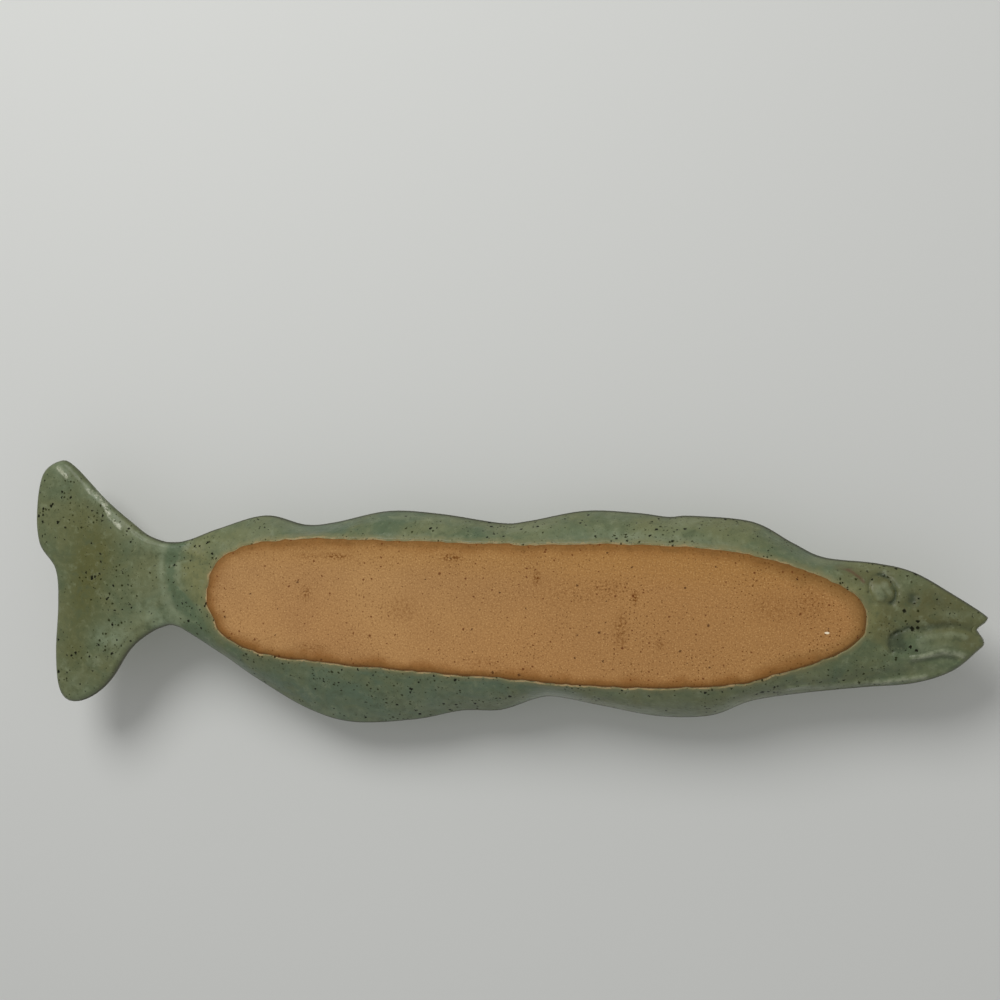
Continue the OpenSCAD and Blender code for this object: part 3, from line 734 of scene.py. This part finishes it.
def clay_material():
    """Bare speckled stoneware, toasted brown along the glaze line, with kiln smudges and a chip."""
    s = Shader("bare_stoneware")
    x, y = s.place()
    cloud = s.noise(17.0, 5.0, 0.6)
    wide = s.noise(6.0, 2.0, 0.5)
    grain = s.noise(750.0, 3.0, 0.75)
    light_grain = s.noise(1100.0, 2.0, vector=s.moved((0.3, 0, 0)))
    s.colour = s.mix(s.range(cloud, 0.32, 0.68), linear(158, 119, 74), linear(175, 135, 86))
    s.paint((168, 120, 72), s.range(wide, 0.35, 0.65, 0.0, 0.45))
    s.paint((158, 113, 62), s.range(x, 0.22, -0.2, 0.0, 0.75))
    s.paint((156, 112, 44), s.range(y, 0.012, 0.036, 0.0, 0.28))
    s.paint((122, 84, 42), s.range(grain, 0.42, 0.7, 0.0, 0.5))
    s.paint((206, 164, 108), s.range(light_grain, 0.5, 0.75, 0.0, 0.5))

    flecked = s.range(s.noise(620.0, 4.0, 0.7), 0.46, 0.57)
    for strength, *spot in SMUDGES:
        s.paint((106, 60, 4), s.range(s.off_spot(*spot), 1.8, 0.1), flecked, strength)

    # Along the glaze line: greyer at the head's end, browner at the tail's, and all round a toast,
    # a narrow even band and a dark line. Toast and line are fainter at the upper side and the head
    line = s.attribute("line")
    uneven = s.add(line, s.range(s.noise(70.0, 5.0), 0.25, 0.75, -2.2, 2.2))
    rough = s.add(line, s.range(s.noise(240.0, 5.0), 0.2, 0.8, -1.0, 1.0))
    head_end = s.times(s.range(x, -0.10, -0.17), s.range(y, -0.035, 0.0, 0.35, 1.0))
    tail_end = s.times(s.range(x, 0.05, 0.18), s.range(y, 0.03, -0.02, 0.6, 1.0))
    lower = s.times(s.range(y, 0.03, -0.02, 0.7, 1.0), s.range(x, -0.196, -0.15, 0.45, 1.0))
    s.paint((112, 88, 44), s.range(uneven, 12.0, 2.0, 0.0, 0.45), head_end)
    s.paint((112, 76, 34), s.range(uneven, 14.0, 2.0, 0.0, 0.34), tail_end)
    s.paint((130, 84, 34), s.range(uneven, 9.0, 0.5, 0.0, 0.8), lower)
    s.paint((82, 58, 14), s.range(rough, 5.0, 0.8, 0.0, 0.38))
    s.paint((88, 52, 20), s.range(rough, 1.5, 0.4, 0.0, 0.28), lower)

    grouping = s.range(s.noise(28.0, 3.0, vector=s.moved((0.7, 0.1, 0))), 0.36, 0.62, 0.6, 1.2)
    tiny = s.specks(0.0021, 0.00052, (0.1, 0, 0), 1.3, grouping=grouping, through="2D")
    small = s.specks(0.0054, 0.00080, (0.3, 0.2, 0), 2.0, grouping=grouping, through="2D")
    large = s.specks(0.0160, 0.00100, (0, 0.2, 0), 1.6, through="2D")
    s.paint((98, 58, 12), tiny, s.range(x, 0.05, -0.15, 0.5, 0.85))
    s.paint((92, 42, 0), small, 0.8)
    s.paint((70, 34, 0), large, 0.8)
    s.paint((232, 218, 190), s.range(s.off_spot(*CHIP), 1.1, 0.7))

    height = s.less(s.add(grain, s.times(s.noise(220.0), 0.6)), s.times(large, 0.8))
    return s.finish(height, 0.00028, s.range(cloud, 0.3, 0.7, 0.82, 0.95), 0.3)


def glaze_material(name, tail):
    """Semi-matt green glaze over speckled clay: darker where it pools, paler where it is thin, with painted
    shade in hollows and along the lip, and painted highlights on ridges and crests.
    """
    s = Shader(name)
    x, y = s.place()
    mottle = s.noise(34.0, 5.0, 0.62, 0.6)
    drift = s.noise(26.0, 5.0, 0.65, 0.5, s.moved((0.1, 0.2, 0), (0.7, 1.4, 1.4)))
    fine = s.noise(260.0, 5.0, 0.7)
    flecks = s.noise(130.0, 5.0, 0.7, 0.4)
    s.colour = s.mix(s.range(mottle, 0.34, 0.66), linear(74, 89, 62), linear(94, 99, 64))
    s.paint((112, 118, 86), s.range(drift, 0.46, 0.7, 0.0, 0.6))

    # The regions of the masks, each broken up by the glaze's own mottling
    clouds = s.range(s.noise(22.0, 4.0), 0.55, 0.85, 0.0, 0.3)
    olive = s.math("ADD", s.attribute("olive"), clouds, clamp=True)
    s.paint((78, 78, 28) if tail else (80, 78, 38), olive, s.range(flecks, 0.3, 0.6, 0.65, 1.0))
    s.paint((82, 100, 78), s.attribute("belly"), s.range(mottle, 0.35, 0.6, 0.75, 0.3))
    s.paint((108, 108, 66), s.attribute("warm"), s.range(fine, 0.2, 0.7, 0.6, 0.9))
    if tail:
        s.paint((80, 82, 48), s.attribute("body_dip"), 0.2)
    s.paint((76, 92, 64), s.attribute("overlap"), s.range(fine, 0.2, 0.6, 0.65, 0.95))
    s.paint((112, 122, 94), s.attribute("ridge"), s.range(flecks, 0.3, 0.6, 0.25, 0.85))
    # Pale thin glaze, partly painted highlight along the tail's margin and the belly's crest
    s.paint((106, 118, 92), s.attribute("pale"), s.range(flecks, 0.35, 0.62, 0.3, 1.0))
    # Glaze pooled dark in hollows and thin on ridges, deepened by painted shade in the hollows and a
    # painted highlight on the ridges
    pool_shade_highlight = s.times(s.attribute("pool_shade_highlight"), s.range(flecks, 0.3, 0.65, 0.75, 1.25))
    s.paint((46, 56, 34), s.range(pool_shade_highlight, 0.1, 1.5, 0.0, 0.85))
    s.paint((116, 124, 96), s.range(pool_shade_highlight, -0.1, -1.1, 0.0, 0.6))

    # Lighter and darker flecks, a painted highlight along the crests, thin and broken on the tail, the
    # streak, and the lip's dark line, partly painted shade
    s.paint((116, 124, 96), s.range(flecks, 0.52, 0.74, 0.0, 0.5))
    s.paint((64, 74, 46), s.range(flecks, 0.48, 0.28, 0.0, 0.5))
    s.paint((122, 128, 94), s.range(fine, 0.52, 0.76, 0.0, 0.4))
    s.paint((66, 74, 44), s.range(fine, 0.46, 0.26, 0.0, 0.4))
    # A pale painted highlight along the crests, where the glaze is also glossier
    if tail:
        gaps = s.range(s.noise(420.0, 4.0, 0.7), 0.4, 0.6)
        crest_gloss_and_highlight = s.times(s.range(s.attribute("sheen"), 0.66, 0.97), gaps)
        s.paint((170, 172, 150), crest_gloss_and_highlight, 0.85)
    else:
        crest_gloss_and_highlight = s.times(s.attribute("sheen"), s.range(fine, 0.4, 0.56, 0.25, 1.0))
        s.paint((144, 148, 124), crest_gloss_and_highlight, 0.65)
    s.paint((84, 60, 36), s.attribute("streak"), s.range(fine, 0.3, 0.6, 0.5, 1.0))
    # A dark line along the lip: partly the glaze's iron break, partly painted shade
    lip = s.attribute("lip")
    s.paint((54, 55, 36), lip, s.range(fine, 0.2, 0.6, 0.7, 1.0))

    # A dull fringe and a broken cream line where the glaze starts, fainter at the head and back
    line = s.add(s.attribute("line"), s.range(s.noise(300.0, 5.0), 0.2, 0.8, -0.7, 0.7))
    s.paint((124, 116, 76), s.range(line, 4.0, 0.8, 0.0, 0.42))
    breaks = s.range(s.noise(150.0, 5.0, 0.7), 0.4, 0.6, 0.15, 1.0)
    cream = s.times(s.range(line, 0.9, 0.4, 0.0, 0.95), breaks)
    lower = s.times(s.range(x, -0.2, -0.13, 0.45, 1.0), s.range(y, 0.036, 0.0, 0.6, 1.0))
    s.paint((172, 146, 104), cream, lower)

    # Iron specks from the clay, in groups
    grouping = s.range(s.noise(32.0, 3.0), 0.34, 0.62, 0.5, 1.2)
    huge = s.specks(0.0053, 0.00130 if tail else 0.00135, (0, 0, 0), 2.2, grouping=grouping)
    large = s.specks(0.0033, 0.00110, (0.3, 0.1, 0), 2.4, grouping=grouping)
    middle = s.specks(0.0022, 0.00088, (0.2, 0.4, 0), 2.2, grouping=grouping)
    small = s.specks(0.0013, 0.00052, (0.5, 0, 0), 1.7, grouping=grouping)
    iron = s.most(huge, large)
    if not tail:
        iron = s.most(iron, s.specks(0.0068, 0.00100, (0, 0.3, 0), 1.2, (1.0, 0.55, 1.0)))
    s.paint((50, 52, 12), small, 0.6)
    s.paint((32, 34, 4), middle, 0.9)
    s.paint((14, 17, 2), iron)

    height = s.add(s.noise(75.0, 3.0), s.times(s.noise(190.0, 3.0), 0.4), s.times(fine, 0.2))
    height = s.less(height, s.times(iron, 0.3))
    rough = s.add(s.range(mottle, 0.3, 0.7, 0.36, 0.5), s.times(iron, 0.2), s.times(lip, 0.3))
    rough = s.add(s.less(rough, s.times(crest_gloss_and_highlight, 0.24)), s.range(line, 1.2, 0.5, 0.0, 0.35))
    shine = s.mix(s.most(iron, middle), (1, 1, 1, 1), (0.25, 0.25, 0.2, 1))
    return s.finish(height, 0.0008, rough, 0.4, {
        "Coat Weight": 0.08, "Coat Roughness": 0.2, "Specular Tint": shine})


clay.data.materials.append(clay_material())
body_coat.data.materials.append(glaze_material("green_glaze", False))
tail_coat.data.materials.append(glaze_material("tail_green_glaze", True))

for piece, node, slot in ((clay, "stoneware_slab", "bare_stoneware"),
                          (body_coat, "body_glaze", "green_glaze"),
                          (tail_coat, "tail_glaze", "tail_green_glaze")):
    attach(piece, "root")
    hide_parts(node)


def stage_plane(name, z, facing_up, colour):
    """A wide sheet that shows on one side only, so that no camera is shut out by it."""
    mesh = bpy.data.meshes.new(name)
    corners = [(-STAGE_HALF, -STAGE_HALF, z), (STAGE_HALF, -STAGE_HALF, z),
               (STAGE_HALF, STAGE_HALF, z), (-STAGE_HALF, STAGE_HALF, z)]
    mesh.from_pydata(corners, [], [[0, 1, 2, 3] if facing_up else [3, 2, 1, 0]])
    plane = add_object(name, mesh)
    s = Shader(name)
    matt = s.node("ShaderNodeBsdfDiffuse", {"Color": colour}).outputs[0]
    clear = s.node("ShaderNodeBsdfTransparent").outputs[0]
    behind = s.node("ShaderNodeNewGeometry").outputs["Backfacing"]
    shown = s.node("ShaderNodeMixShader", {0: behind, 1: matt, 2: clear}).outputs[0]
    s.node("ShaderNodeOutputMaterial", {"Surface": shown})
    mesh.materials.append(s.material)
    plane.visible_diffuse = False
    plane.visible_glossy = False
    plane.visible_transmission = False
    plane.visible_shadow = False


# The floor under the foot is seen from above, the pale wall behind the rim from below
STAGE_HALF, FLOOR_Z, BACKDROP_Z = 5.0, -0.0006, 0.060
stage_plane("floor", FLOOR_Z, True, linear(206, 204, 200))
stage_plane("backdrop", BACKDROP_Z, False, linear(198, 199, 196))

# The photograph's camera, its directions and place: it looks at the underside, head to the right
RIGHT = Vector((-0.973777, 0.034005, 0.224951))
UP = Vector((0.042724, 0.998508, 0.034005))
BACK = Vector((-0.223459, 0.042724, -0.973777))
CAMERA_PLACE = Vector((-0.187979, 0.104570, -0.880091))
LENS, SENSOR = 54.0, 36.0
camera_data = bpy.data.cameras.new("camera")
camera_data.lens, camera_data.sensor_width = LENS, SENSOR
camera = add_object("camera", camera_data)
camera.matrix_world = Matrix.Translation(CAMERA_PLACE) @ Matrix((RIGHT, UP, BACK)).transposed().to_4x4()
bpy.context.scene.camera = camera


def soft_light(name, place, size, watts):
    """A round lamp that faces the platter."""
    data = bpy.data.lights.new(name, "AREA")
    data.shape, data.size, data.energy = "DISK", size, watts
    light = add_object(name, data)
    light.location = place
    light.rotation_euler = (-Vector(place)).to_track_quat("-Z", "Y").to_euler()
    return light


# The light from below shines softly, and its glare is kept down for the views from above
KEY_BELOW = (BACK * 0.85 - RIGHT * 0.5 + UP * 0.75).normalized() * 1.7
KEY_ABOVE = Vector((-1.15, -0.25, 1.25))
BELOW_SIZE, ABOVE_SIZE = 0.9, 1.0
KEY_WATTS, GLINT_WATTS, WORLD_STRENGTH = 19.0, 11.0, 0.5
soft_light("key_below", KEY_BELOW, BELOW_SIZE, KEY_WATTS).visible_glossy = False
soft_light("glint_below", KEY_BELOW, BELOW_SIZE, GLINT_WATTS).visible_diffuse = False
soft_light("key_above", KEY_ABOVE, ABOVE_SIZE, KEY_WATTS)

world = bpy.data.worlds.new("studio")
bpy.context.scene.world = world
world.use_nodes = True
background = world.node_tree.nodes["Background"]
background.inputs["Color"].default_value = (1, 1, 1, 1)
background.inputs["Strength"].default_value = WORLD_STRENGTH

bpy.context.scene.view_settings.view_transform = "Standard"
